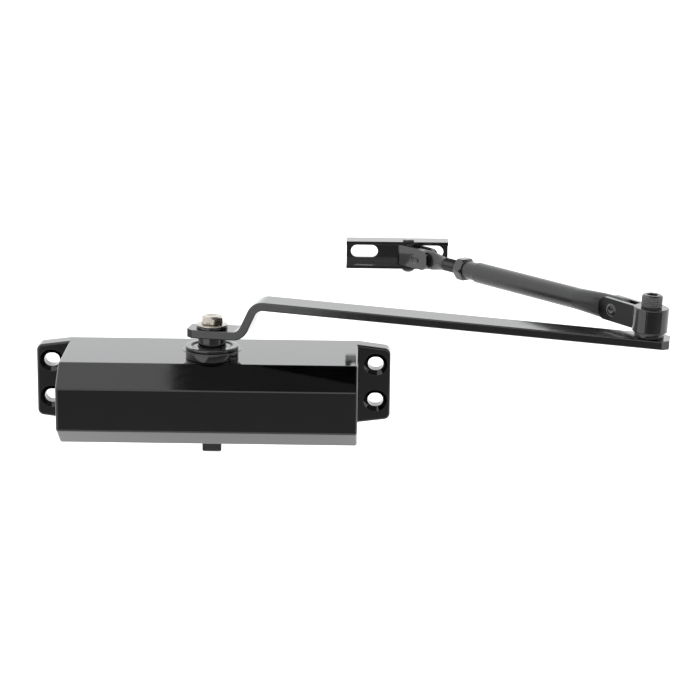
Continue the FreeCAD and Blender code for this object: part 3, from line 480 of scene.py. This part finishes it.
@dataclass(frozen=True)
class Plating(Enamel):
    """Dark plating or paint over rolled and pressed steel.

    Args:
        draw: height of the rolling marks, in metres.
        draw_scale: their scale per metre across the marks.
        grain_axis: stretch of the marks along X, Y and Z.
    """

    draw: float = 1.2e-6
    draw_scale: float = 900.0
    grain_axis: Colour = (0.06, 1.0, 1.0)

    def dress(self, name: str) -> bpy.types.Material:
        """Return the finished material."""
        material = super().dress(name)
        tree = material.node_tree
        shader = next(n for n in tree.nodes if n.type == "BSDF_PRINCIPLED")
        last = shader.inputs["Normal"].links[0].from_node
        place = next(n for n in tree.nodes if n.type == "TEX_COORD")
        stretch = tree.nodes.new("ShaderNodeMapping")
        stretch.inputs["Scale"].default_value = self.grain_axis
        tree.links.new(place.outputs["Object"], stretch.inputs["Vector"])
        marks = tree.nodes.new("ShaderNodeTexNoise")
        marks.inputs["Scale"].default_value = self.draw_scale
        marks.inputs["Detail"].default_value = 3.0
        tree.links.new(stretch.outputs["Vector"], marks.inputs["Vector"])
        bump = tree.nodes.new("ShaderNodeBump")
        bump.inputs["Distance"].default_value = self.draw
        tree.links.new(marks.outputs[0], bump.inputs["Height"])
        tree.links.new(last.outputs["Normal"], bump.inputs["Normal"])
        tree.links.new(bump.outputs["Normal"], shader.inputs["Normal"])
        return material


@dataclass(frozen=True)
class BareMetal(Finish):
    """Turned, ground or plated bright metal.

    Args:
        lines: height of the tool marks, in metres.
        line_scale: marks per metre.
        pits: height of the fine pitting, in metres.
        stain: colour that collects in patches.
    """

    lines: float = 1.5e-6
    line_scale: float = 2600.0
    pits: float = 2.5e-6
    stain: Colour = (0.35, 0.31, 0.25)

    def dress(self, name: str) -> bpy.types.Material:
        """Return the finished material."""
        graph = self.start(name)
        tone = graph.shader.inputs["Base Color"].links[0].from_node
        patches = graph.noise(600.0, 5.0, 0.7)
        stained = graph.add("ShaderNodeMix", data_type="RGBA")
        graph.link(graph.spread(patches, 0, 0.0, 0.55, (0.5, 0.8)), "Result", stained, "Factor")
        graph.link(tone, 2, stained, 6)
        stained.inputs[7].default_value = (*self.stain, 1.0)
        graph.link(stained, 2, graph.shader, "Base Color")
        marks = graph.add("ShaderNodeTexWave", wave_type="BANDS", bands_direction="Z")
        graph.link(graph.place, "Object", marks, "Vector")
        marks.inputs["Scale"].default_value = self.line_scale
        marks.inputs["Distortion"].default_value = 3.0
        marks.inputs["Detail"].default_value = 2.0
        pits = graph.noise(3500.0, 2.0, 0.5)
        graph.bumps([(marks, 1, self.lines), (pits, 0, self.pits)])
        return graph.material


@dataclass(frozen=True)
class Rubber(Finish):
    """Moulded seal rubber.

    Args:
        grain: height of its fine grain, in metres.
    """

    grain: float = 6e-6

    def dress(self, name: str) -> bpy.types.Material:
        """Return the finished material."""
        graph = self.start(name)
        graph.bumps([(graph.noise(4200.0, 3.0, 0.6), 0, self.grain)])
        return graph.material


@dataclass
class FinishBook:
    """Every finish of the closer by material slot."""

    recipes: dict[Slot, Finish] = field(default_factory=lambda: {
        Slot.CASTING: Enamel((0.0008, 0.0008, 0.0009), (0.0018, 0.0018, 0.0020), (0.035, 0.075), ior=1.5),
        Slot.BLACK_STEEL: Plating((0.0006, 0.0006, 0.0007), (0.0016, 0.0016, 0.0018), (0.07, 0.15), ior=1.62,
                                  peel=1.2e-6, peel_scale=900.0, waviness=3e-6),
        Slot.SATIN_STEEL: Plating((0.0040, 0.0041, 0.0044), (0.0080, 0.0082, 0.0088), (0.25, 0.32), ior=1.5,
                                  peel=2.5e-6, peel_scale=1500.0, waviness=2e-6, rubbed=(0.03, 0.03, 0.029)),
        Slot.NICKEL: BareMetal((0.30, 0.28, 0.245), (0.42, 0.395, 0.35), (0.16, 0.34), metallic=1.0,
                               drift=320.0),
        Slot.BLACK_SCREW: Plating((0.0040, 0.0040, 0.0044), (0.0120, 0.0118, 0.0115), (0.16, 0.32),
                                  metallic=0.35, ior=1.8, peel=2e-6, waviness=1e-6, drift=260.0,
                                  rubbed=(0.08, 0.078, 0.075)),
        Slot.GROUND: BareMetal((0.40, 0.40, 0.42), (0.56, 0.56, 0.58), (0.18, 0.34), metallic=1.0,
                               drift=140.0,
                               stain=(0.30, 0.29, 0.28)),
        Slot.BRASS: BareMetal((0.62, 0.45, 0.20), (0.78, 0.60, 0.30), (0.18, 0.36), metallic=1.0, drift=240.0,
                              stain=(0.38, 0.24, 0.10)),
        Slot.SEAL: Rubber((0.012, 0.012, 0.012), (0.024, 0.024, 0.024), (0.55, 0.75), drift=260.0),
    })
    made: dict[Slot, bpy.types.Material] = field(default_factory=dict)

    def material(self, slot: Slot) -> bpy.types.Material:
        """Return the slot's material, made once."""
        if slot not in self.made:
            self.made[slot] = self.recipes[slot].dress("finish_" + slot.value)
        return self.made[slot]

    def dress_cad(self) -> None:
        """Give every CAD node the finish of its own slot."""
        for name, node in frame["nodes"].items():
            slot = Slot(node.material_slots[0].material.name.split(".")[0])
            node.material_slots[0].material = self.material(slot)
            LOG.info("CAD node %s: %s", name, slot.value)


# ---- sub-assemblies -----------------------------------------------------------
@dataclass
class SpindleHead:
    """Cap round the spindle and the stack that clamps the arm.

    Sizes are in millimetres and round the spindle's axis.
    """

    cap_r: float = 13.1
    cap_bore_r: float = 7.2
    cap_spigot_r: float = 11.6
    seal_pocket_r: float = 9.82
    groove_r: float = 12.5
    ring_r: float = 14.8
    washer_bore_r: float = 3.2
    spring_washer_r: float = 7.7
    washer_r: float = 7.8
    bolt_flat: float = 5.0
    bolt_corner_r: float = 5.66
    bolt_r: float = 2.97
    bolt_turn: float = math.radians(22.0)

    def place(self, turn: float = 0.0) -> Place:
        """Return the frame on the spindle's axis, turned from the arm's line."""
        origin = joint_point(Joint.SPINDLE)
        ahead = joint_point(Joint.ELBOW) - origin
        ahead.z = 0.0
        along = Matrix.Rotation(turn, 3, "Z") @ ahead
        return Place(Vector((origin.x, origin.y, 0.0)), Vector((0, 0, 1)), along)

    def make_cap(self, finishes: FinishBook) -> None:
        """Make the screwed cap with its groove, boss and soft edges."""
        low, top = height_of("spindle_cap")
        seat = height_of("body_casting")[1]
        ring_low, ring_high = height_of("dust_ring")
        outline = [(self.cap_bore_r, top - 1.0), (self.cap_bore_r, top - 0.55), (9.3, top - 0.55),
                   (9.3, top - 0.75),
                   (10.3, top - 0.75), (10.3, top), (self.cap_r, top), (self.cap_r, ring_high + 0.02),
                   (self.groove_r, ring_high + 0.02), (self.groove_r, ring_low - 0.02),
                   (self.cap_r, ring_low - 0.02), (self.cap_r, seat + 0.25), (self.cap_r - 0.35, seat),
                   (self.cap_spigot_r, seat), (self.cap_spigot_r, low), (self.seal_pocket_r, low),
                   (self.seal_pocket_r, top - 1.0)]
        work = Workpiece("spindle_cap_turned", self.place())
        work.turned([Station(r, z) for r, z in loop_softened(outline, 0.22)], 128, closed=True)
        work.finish("body", Slot.BLACK_STEEL, finishes, ["spindle_cap"])

    def make_dust_ring(self, finishes: FinishBook) -> None:
        """Make the sprung dust ring with its open gap at the back."""
        low, high = height_of("dust_ring")
        middle = (low + high) / 2
        thick = (high - low) / 2
        gap = math.radians(5.0)
        back = math.radians(96.0)
        sections = []
        for k in range(121):
            turn = back + gap + (math.tau - 2 * gap) * k / 120
            across = [(self.groove_r + 0.05, -thick), (self.ring_r - 0.12, -thick),
                      (self.ring_r, -thick * 0.4),
                      (self.ring_r, thick * 0.4), (self.ring_r - 0.12, thick), (self.groove_r + 0.05, thick)]
            sections.append([Vector((r * math.cos(turn), r * math.sin(turn), middle + z)) for r, z in across])
        work = Workpiece("dust_ring_sprung", self.place())
        work.swept(sections)
        work.finish("body", Slot.BLACK_STEEL, finishes, ["dust_ring"])

    def make_spring_washer(self, finishes: FinishBook) -> None:
        """Make the split spring washer, its ends slightly out of line."""
        low, high = height_of("spring_washer")
        thick = (high - low) * 0.80
        rise = (high - low) - thick
        gap = math.radians(4.0)
        split = math.radians(110.0)
        inner, outer, edge = self.washer_bore_r, self.spring_washer_r, 0.18
        sections = []
        for k in range(91):
            share = k / 90
            turn = split + gap + (math.tau - 2 * gap) * share
            base = low + rise * share
            across = [(inner + edge, 0), (outer - edge, 0), (outer, edge), (outer, thick - edge),
                      (outer - edge, thick), (inner + edge, thick), (inner, thick - edge), (inner, edge)]
            sections.append([Vector((r * math.cos(turn), r * math.sin(turn), base + z)) for r, z in across])
        work = Workpiece("spring_washer_split", self.place())
        work.swept(sections)
        work.finish("arm", Slot.BLACK_STEEL, finishes, ["spring_washer"])

    def make_washer(self, finishes: FinishBook) -> None:
        """Make the bright washer, dished a little towards the bolt head."""
        low, high = height_of("arm_washer")
        dish = 0.22
        outline = [(self.washer_bore_r, low + dish), (self.washer_r - 0.1, low), (self.washer_r, low + 0.12),
                   (self.washer_r, high - dish - 0.12), (self.washer_r - 0.25, high - dish), (5.9, high),
                   (self.washer_bore_r, high)]
        work = Workpiece("arm_washer_dished", self.place())
        work.turned([Station(r, z) for r, z in loop_softened(outline, 0.12)], 112, closed=True)
        work.finish("arm", Slot.NICKEL, finishes, ["arm_washer"])

    def make_bolt(self, finishes: FinishBook) -> None:
        """Make the hexagon bolt with a turned chamfer and a cold-formed recess."""
        low, top = height_of("arm_bolt")
        seat = top - 4.0
        hexagon = {"flat": self.bolt_flat}
        stations = [Station(0, low), Station(self.bolt_r - 0.5, low), Station(self.bolt_r, low + 0.5),
                    Station(self.bolt_r, seat), Station(4.7, seat), Station(4.95, seat + 0.08),
                    Station(self.bolt_corner_r, seat + 0.30, **hexagon),
                    Station(self.bolt_corner_r, top - 1.10, **hexagon)]
        for k in range(7):
            share = k / 6
            stations.append(Station(self.bolt_corner_r - 0.14 - 1.15 * share, top - 0.95 + 0.78 * share, **hexagon))
        stations += [Station(4.25, top - 0.06), Station(3.9, top), Station(2.75, top),
                     Station(2.5, top - 0.08),
                     Station(1.55, top - 0.58), Station(1.2, top - 0.66), Station(0, top - 0.66)]
        work = Workpiece("arm_bolt_hexagon", self.place(self.bolt_turn), crease=30.0)
        work.turned(stations, 144)
        work.finish("arm", Slot.NICKEL, finishes, ["arm_bolt"])

    def build(self, finishes: FinishBook) -> None:
        """Build every piece of the spindle head."""
        self.make_cap(finishes)
        self.make_dust_ring(finishes)
        self.make_spring_washer(finishes)
        self.make_washer(finishes)
        self.make_bolt(finishes)


@dataclass
class Elbow:
    """Spacer, knurled screw and rivet of the elbow, in millimetres."""

    ring_r: float = 7.1
    ring_bore_r: float = 5.02
    ring_t: float = 2.65
    head_r: float = 5.0
    head_low: float = 14.77
    head_h: float = 6.0
    socket_flat: float = 2.5
    socket_depth: float = 3.0
    stud_r: float = 2.95
    stud_low: float = -3.9
    knurls: int = 34
    knurl_depth: float = 0.26
    rivet_half: float = 4.8
    rivet_r: float = 2.4
    rivet_head_r: float = 3.1

    def place(self) -> Place:
        """Return the frame on the elbow's axis with +X along the link."""
        origin = joint_point(Joint.ELBOW)
        return Place(origin, joint_axis(Joint.ELBOW), joint_point(Joint.ROD_TILT) - origin)

    def make_ring(self, finishes: FinishBook) -> None:
        """Make the spacer ring with soft edges."""
        outline = [(self.ring_bore_r, 0.0), (self.ring_r, 0.0), (self.ring_r, self.ring_t),
                   (self.ring_bore_r, self.ring_t)]
        work = Workpiece("elbow_ring_turned", self.place())
        work.turned([Station(r, z) for r, z in loop_softened(outline, 0.35)], 96, closed=True)
        work.finish("arm", Slot.BLACK_STEEL, finishes, ["elbow_ring"])

    def make_screw(self, finishes: FinishBook) -> None:
        """Make the cap screw with a diamond-knurled head and a hexagon socket."""
        low, high = self.head_low, self.head_low + self.head_h
        stations = [Station(0, self.stud_low), Station(self.stud_r - 0.4, self.stud_low),
                    Station(self.stud_r, self.stud_low + 0.4), Station(self.stud_r, low),
                    Station(self.head_r - 0.45, low), Station(self.head_r - 0.1, low + 0.3)]
        levels = 22
        for k in range(levels + 1):
            z = low + 0.42 + (self.head_h - 1.25) * k / levels
            stations.append(Station(self.head_r, z, knurl=self.knurl_depth))
        stations += [Station(self.head_r - 0.1, high - 0.62), Station(self.head_r - 0.62, high - 0.08),
                     Station(self.head_r - 0.85, high), Station(3.25, high)]
        wide = self.socket_flat / math.cos(math.pi / 6)
        stations += [Station(wide + 0.02, high - 0.28, flat=self.socket_flat),
                     Station(wide + 0.02, high - self.socket_depth, flat=self.socket_flat),
                     Station(1.6, high - self.socket_depth - 0.1), Station(0, high - self.socket_depth - 0.6)]
        work = Workpiece("elbow_screw_knurled", self.place(), crease=28.0)
        work.turned(stations, self.knurls * 8, self.knurls)
        work.finish("arm", Slot.BLACK_SCREW, finishes, ["elbow_screw"])

    def make_rivet(self, finishes: FinishBook) -> None:
        """Make the rivet that joins the link's ears and the rod tube."""
        place = Place(joint_point(Joint.ROD_TILT), joint_axis(Joint.ROD_TILT), joint_axis(Joint.ELBOW))
        work = Workpiece("elbow_rivet_set", place, crease=35.0)
        work.turned(rivet_stations(self.rivet_half, self.rivet_r, self.rivet_head_r), 72)
        work.finish("elbow_link", Slot.BLACK_STEEL, finishes, ["elbow_rivet"])

    def build(self, finishes: FinishBook) -> None:
        """Build every piece of the elbow."""
        self.make_ring(finishes)
        self.make_screw(finishes)
        self.make_rivet(finishes)


def rivet_stations(half: float, shank_r: float, head_r: float) -> list[Station]:
    """Return the rings of a rivet set at both ends.

    Args:
        half: half the grip between the heads.
        shank_r: radius of the shank.
        head_r: radius of each head.

    Returns:
        Rings from one end of the axis to the other.
    """
    end = [(0.0, half + 0.12), (0.75, half + 0.12), (0.95, half + 0.2), (1.35, half + 0.46),
           (1.7, half + 0.5),
           (head_r - 0.75, half + 0.47), (head_r - 0.28, half + 0.3), (head_r, half + 0.04), (shank_r, half)]
    lower = [Station(r, -z) for r, z in end]
    upper = [Station(r, z) for r, z in reversed(end)]
    return lower + upper


@dataclass
class Rod:
    """Lock nut of the telescopic rod, in millimetres."""

    nut_flat: float = 5.5
    nut_corner_r: float = 6.22
    nut_half: float = 2.75
    nut_bore_r: float = 3.52
    sink_r: float = 4.1

    def make_nut(self, finishes: FinishBook) -> None:
        """Make the lock nut, chamfered and countersunk on both faces."""
        place = Place(joint_point(Joint.NUT), joint_axis(Joint.NUT), Vector((0, 0, 1)))
        hexagon = {"flat": self.nut_flat}
        face = [(self.nut_bore_r, self.nut_half - 0.6), (self.sink_r, self.nut_half), (4.9, self.nut_half)]
        upper = [Station(r, z) for r, z in face]
        for k in range(7):
            share = k / 6
            upper.append(Station(5.1 + 1.0 * share, self.nut_half - 0.04 - 0.62 * share, **hexagon))
        upper.append(Station(self.nut_corner_r, self.nut_half - 0.85, **hexagon))
        lower = [Station(s.radius, -s.height, s.flat) for s in reversed(upper)]
        work = Workpiece("lock_nut_hexagon", place, crease=30.0)
        work.turned(upper + lower, 144, closed=True)
        work.finish("lock_nut", Slot.BLACK_STEEL, finishes, ["lock_nut"])


@dataclass
class Shoe:
    """Rivet and pin of the shoe, in millimetres."""

    rivet_half: float = 4.2
    rivet_r: float = 2.4
    rivet_head_r: float = 2.9
    pin_r: float = 2.5
    half_height: float = 7.3
    top_head_r: float = 3.0
    low_head_r: float = 3.5

    def make_rivet(self, finishes: FinishBook) -> None:
        """Make the rivet of the shoe block."""
        place = Place(joint_point(Joint.SHOE_TILT), joint_axis(Joint.SHOE_TILT), Vector((0, 0, 1)))
        work = Workpiece("shoe_rivet_set", place, crease=35.0)
        work.turned(rivet_stations(self.rivet_half, self.rivet_r, self.rivet_head_r), 72)
        work.finish("shoe_block", Slot.BLACK_STEEL, finishes, ["shoe_rivet"])

    def make_pin(self, finishes: FinishBook) -> None:
        """Make the upright pin with a flat upper and a domed lower head."""
        top = self.half_height
        outline = [(0.0, -top - 2.2), (1.2, -top - 2.12), (2.2, -top - 1.8), (3.1, -top - 1.15),
                   (self.low_head_r, -top - 0.55), (self.low_head_r, -top), (self.pin_r, -top),
                   (self.pin_r, top),
                   (self.top_head_r, top), (self.top_head_r, top + 0.5), (self.top_head_r - 0.45, top + 0.9),
                   (0.0, top + 0.9)]
        place = Place(joint_point(Joint.SHOE_PIN), joint_axis(Joint.SHOE_PIN), Vector((1, 0, 0)))
        work = Workpiece("shoe_pin_headed", place)
        work.turned([Station(r, z) for r, z in softened(outline, 0.16)], 72)
        work.finish("shoe", Slot.BLACK_STEEL, finishes, ["shoe_pin"])

    def build(self, finishes: FinishBook) -> None:
        """Build every piece of the shoe."""
        self.make_rivet(finishes)
        self.make_pin(finishes)


# ---- studio -------------------------------------------------------------------
@dataclass(frozen=True)
class Card:
    """A card that only reflections see.

    Args:
        name: name of the card.
        corners: its four corners in metres, in order.
        near: brightness at the first edge.
        far: brightness at the opposite edge.
    """

    name: str
    corners: tuple[Colour, Colour, Colour, Colour]
    near: float
    far: float

    def hang(self) -> None:
        """Make the card and keep it out of every view but reflections."""
        mesh = bpy.data.meshes.new(self.name)
        mesh.from_pydata(self.corners, [], [(0, 1, 2, 3)])
        layer = mesh.uv_layers.new(name="across")
        for loop, uv in zip(layer.data, ((0, 0), (1, 0), (1, 1), (0, 1))):
            loop.uv = uv
        card = bpy.data.objects.new(self.name, mesh)
        bpy.context.scene.collection.objects.link(card)
        material = bpy.data.materials.new(self.name)
        material.use_nodes = True
        tree = material.node_tree
        tree.nodes.clear()
        out = tree.nodes.new("ShaderNodeOutputMaterial")
        light = tree.nodes.new("ShaderNodeEmission")
        where = tree.nodes.new("ShaderNodeTexCoord")
        split = tree.nodes.new("ShaderNodeSeparateXYZ")
        ramp = tree.nodes.new("ShaderNodeMapRange")
        ramp.interpolation_type = "SMOOTHSTEP"
        ramp.inputs["To Min"].default_value = self.near
        ramp.inputs["To Max"].default_value = self.far
        tree.links.new(where.outputs["UV"], split.inputs[0])
        tree.links.new(split.outputs["Y"], ramp.inputs["Value"])
        tree.links.new(ramp.outputs["Result"], light.inputs["Strength"])
        tree.links.new(light.outputs[0], out.inputs["Surface"])
        mesh.materials.append(material)
        card.visible_camera = False
        card.visible_diffuse = False
        card.visible_shadow = False
        card.visible_transmission = False


@dataclass
class Studio:
    """Pale floor, soft light and the cards that shape the reflections."""

    floor_level: float = -0.10
    floor_reach: float = 9.0
    daylight: float = 1.75
    cards: tuple[Card, ...] = (
        Card("front_flag", ((-0.14, -0.26, -0.098), (1.6, -0.26, -0.098), (1.6, -1.15, -0.098),
                            (-0.20, -1.15, -0.098)), 0.45, 0.03),
        Card("overhead_flag", ((-0.125, 0.6, 1.3), (-0.125, -1.2, 1.3), (1.9, -1.2, 1.3), (1.9, 0.6, 1.3)),
             0.16, 0.16),
    )

    def lay_floor(self) -> None:
        """Lay the plain pale floor."""
        bm = bmesh.new()
        bmesh.ops.create_grid(bm, x_segments=12, y_segments=12, size=self.floor_reach)
        mesh = bpy.data.meshes.new("studio_floor")
        bm.to_mesh(mesh)
        bm.free()
        floor = bpy.data.objects.new("studio_floor", mesh)
        floor.location.z = self.floor_level
        bpy.context.scene.collection.objects.link(floor)
        graph = Graph("pale_floor")
        graph.shader.inputs["Roughness"].default_value = 0.9
        tone = graph.blend_colours(graph.noise(3.0, 2.0), 0, (0.90, 0.90, 0.90), (0.93, 0.93, 0.93))
        graph.link(tone, 2, graph.shader, "Base Color")
        mesh.materials.append(graph.material)

    def light(self) -> None:
        """Light the room evenly, as inside a white tent."""
        world = bpy.data.worlds.new("white_tent")
        world.use_nodes = True
        background = world.node_tree.nodes["Background"]
        background.inputs["Color"].default_value = (0.985, 0.99, 1.0, 1.0)
        background.inputs["Strength"].default_value = self.daylight
        bpy.context.scene.world = world

    def build(self) -> None:
        """Build the studio."""
        self.lay_floor()
        self.light()
        for card in self.cards:
            card.hang()
        bpy.context.scene.view_settings.view_transform = "Standard"


@dataclass(frozen=True)
class Viewpoint:
    """Camera on a stand in front of the closer.

    Args:
        aim: point that the lens looks at, in metres.
        azimuth: degrees round from straight in front.
        elevation: degrees above the horizon.
        roll: degrees of tilt about the line of sight.
        distance: metres from the aim point.
        lens: focal length in millimetres on a 36 mm sensor.
    """

    aim: Colour = (0.069628, -0.04, 0.024962)
    azimuth: float = 0.541
    elevation: float = 14.469
    roll: float = 0.624
    distance: float = 1.191129
    lens: float = 123.909

    def set_up(self) -> None:
        """Set the camera up and make it the scene's camera."""
        a, e, r = (math.radians(x) for x in (self.azimuth, self.elevation, self.roll))
        back = Vector((math.sin(a) * math.cos(e), -math.cos(a) * math.cos(e), math.sin(e)))
        right = Vector((math.cos(a), math.sin(a), 0.0))
        up = back.cross(right)
        turned_right = right * math.cos(r) + up * math.sin(r)
        turned_up = up * math.cos(r) - right * math.sin(r)
        data = bpy.data.cameras.new("stand_camera")
        data.sensor_width = 36.0
        data.lens = self.lens
        data.clip_start = 0.05
        data.clip_end = 60.0
        camera = bpy.data.objects.new("stand_camera", data)
        turn = Matrix((turned_right, turned_up, back)).transposed().to_4x4()
        camera.matrix_world = Matrix.Translation(Vector(self.aim) + back * self.distance) @ turn
        bpy.context.scene.collection.objects.link(camera)
        bpy.context.scene.camera = camera


def main() -> None:
    """Build the camera, studio, finishes and hardware in order."""
    logging.basicConfig(level=logging.INFO, format="%(name)s: %(message)s")
    builders: list[Callable[[], None]] = [Viewpoint().set_up, Studio().build]
    for build in builders:
        build()
    finishes = FinishBook()
    finishes.dress_cad()
    SpindleHead().build(finishes)
    Elbow().build(finishes)
    Rod().make_nut(finishes)
    Shoe().build(finishes)


if __name__ == "__main__":
    main()
